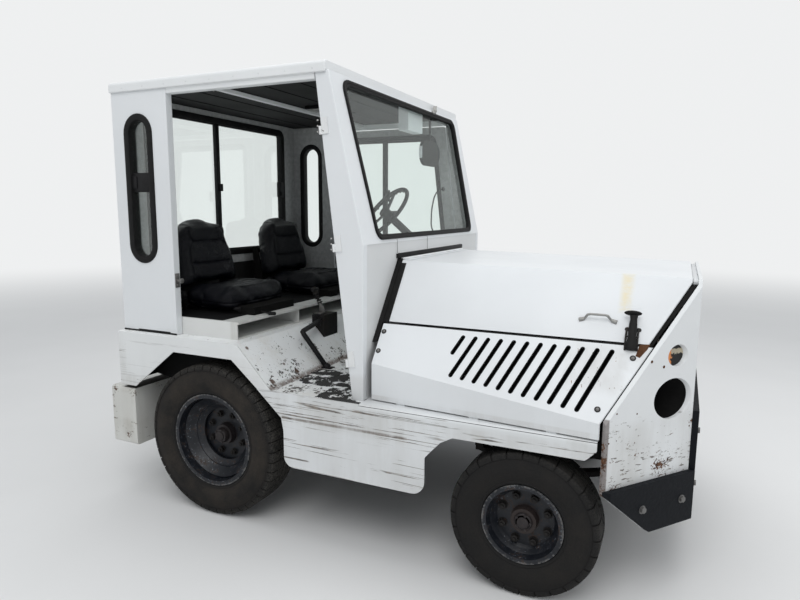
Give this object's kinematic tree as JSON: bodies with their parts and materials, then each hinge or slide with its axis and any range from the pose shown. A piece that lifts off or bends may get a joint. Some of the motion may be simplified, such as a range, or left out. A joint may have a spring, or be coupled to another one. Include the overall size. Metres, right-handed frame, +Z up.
{
  "type": "airport baggage tug",
  "caption": "Airport baggage tug: sloped louvred hood, boxy cab with an open right side, steered front axle, rear counterweight with a pin hitch.",
  "frame": {"origin": "on the ground under the middle of the vehicle", "axes": "+X forward along the vehicle, +Y to its left, +Z up"},
  "size_m": [2.99, 1.7, 2.17],
  "materials": {
    "white_paint": "gloss, scratched",
    "chassis_black": "satin",
    "deck_plate": "worn",
    "rubber": "matt",
    "tyre": "matt",
    "rim_black": "satin, rusty",
    "glass": "clear",
    "vinyl": "grained",
    "black_plastic": "matt",
    "amber": "gloss",
    "iron": "oily"
  },
  "bodies": {
    "chassis": {"frame": "chassis_black", "bearers": "chassis_black", "counterweight": "white_paint", "hitch": "iron", "nose": "white_paint", "bumper_pads": "rubber", "lamps": "amber", "lamp_shells": "black_plastic", "side_panels": "white_paint", "sills": "white_paint", "fenders": "white_paint", "deck": "deck_plate", "seat_box": "white_paint", "firewall": "white_paint", "hood_seal": "rubber", "cab_rear": "white_paint", "cab_posts": "white_paint", "cab_front": "white_paint", "roof": "white_paint", "windscreen": "glass", "cab_glass": "glass", "seat_cushions": "vinyl", "seat_backs": "vinyl", "seat_slides": "chassis_black", "dashboard": "black_plastic", "steering_column": "black_plastic", "controls": "chassis_black", "engine": "iron", "front_axle": "chassis_black", "rear_axle": "chassis_black", "springs": "chassis_black", "header_fittings": "black_plastic", "hinge_leaves": "white_paint"},
    "hood": {"hood_lid": "white_paint", "hood_fittings": "rubber"},
    "door": {"left_door": "white_paint", "door_glass": "glass"},
    "knuckle_l": {"knuckle_left": "chassis_black"},
    "knuckle_r": {"knuckle_right": "chassis_black"},
    "track_rod": {"tie_rod": "chassis_black"},
    "hand_wheel": {"steering_wheel": "black_plastic"},
    "wheel_fl": {"tyre_front_left": "tyre", "rim_front_left": "rim_black"},
    "wheel_fr": {"tyre_front_right": "tyre", "rim_front_right": "rim_black"},
    "wheel_rl": {"tyre_rear_left": "tyre", "rim_rear_left": "rim_black"},
    "wheel_rr": {"tyre_rear_right": "tyre", "rim_rear_right": "rim_black"}
  },
  "joints": [
    {"name": "steer_left", "type": "hinge", "parent": "chassis", "child": "knuckle_l", "pos_m": [0.879, 0.64, 0.305], "axis": [0, 0, 1], "range_deg": [-35, 35]},
    {"name": "steer_right", "type": "hinge", "parent": "chassis", "child": "knuckle_r", "pos_m": [0.879, -0.64, 0.305], "axis": [0, 0, 1], "range_deg": [-35, 35]},
    {"name": "track_rod_pivot", "type": "hinge", "parent": "knuckle_l", "child": "track_rod", "pos_m": [0.749, 0.64, 0.21], "axis": [0, 0, 1], "range_deg": [-35, 35]},
    {"name": "hand_wheel_turn", "type": "hinge", "parent": "chassis", "child": "hand_wheel", "pos_m": [-0.32, 0.385, 1.528], "axis": [-0.766, 0, 0.6428], "range_deg": [-420, 420]},
    {"name": "spin_front_left", "type": "hinge", "parent": "knuckle_l", "child": "wheel_fl", "pos_m": [0.879, 0.7575, 0.305], "axis": [0, 1, 0], "continuous": true},
    {"name": "spin_front_right", "type": "hinge", "parent": "knuckle_r", "child": "wheel_fr", "pos_m": [0.879, -0.7575, 0.305], "axis": [0, 1, 0], "continuous": true},
    {"name": "spin_rear_left", "type": "hinge", "parent": "chassis", "child": "wheel_rl", "pos_m": [-0.705, 0.742, 0.39], "axis": [0, 1, 0], "continuous": true},
    {"name": "spin_rear_right", "type": "hinge", "parent": "chassis", "child": "wheel_rr", "pos_m": [-0.705, -0.742, 0.39], "axis": [0, 1, 0], "continuous": true},
    {"name": "hood_open", "type": "hinge", "parent": "chassis", "child": "hood", "pos_m": [0.175, 0, 1.3143], "axis": [0, -1, 0], "range_deg": [0, 62]},
    {"name": "door_open", "type": "hinge", "parent": "chassis", "child": "door", "pos_m": [0.096, 0.812, 0.706], "axis": [0.1206, 0, -0.9927], "range_deg": [0, 85]}
  ],
  "couplings": [
    {"joint": "steer_right", "follows": "steer_left", "ratio": 1},
    {"joint": "track_rod_pivot", "follows": "steer_left", "ratio": -1},
    {"joint": "hand_wheel_turn", "follows": "steer_left", "ratio": 12}
  ]
}
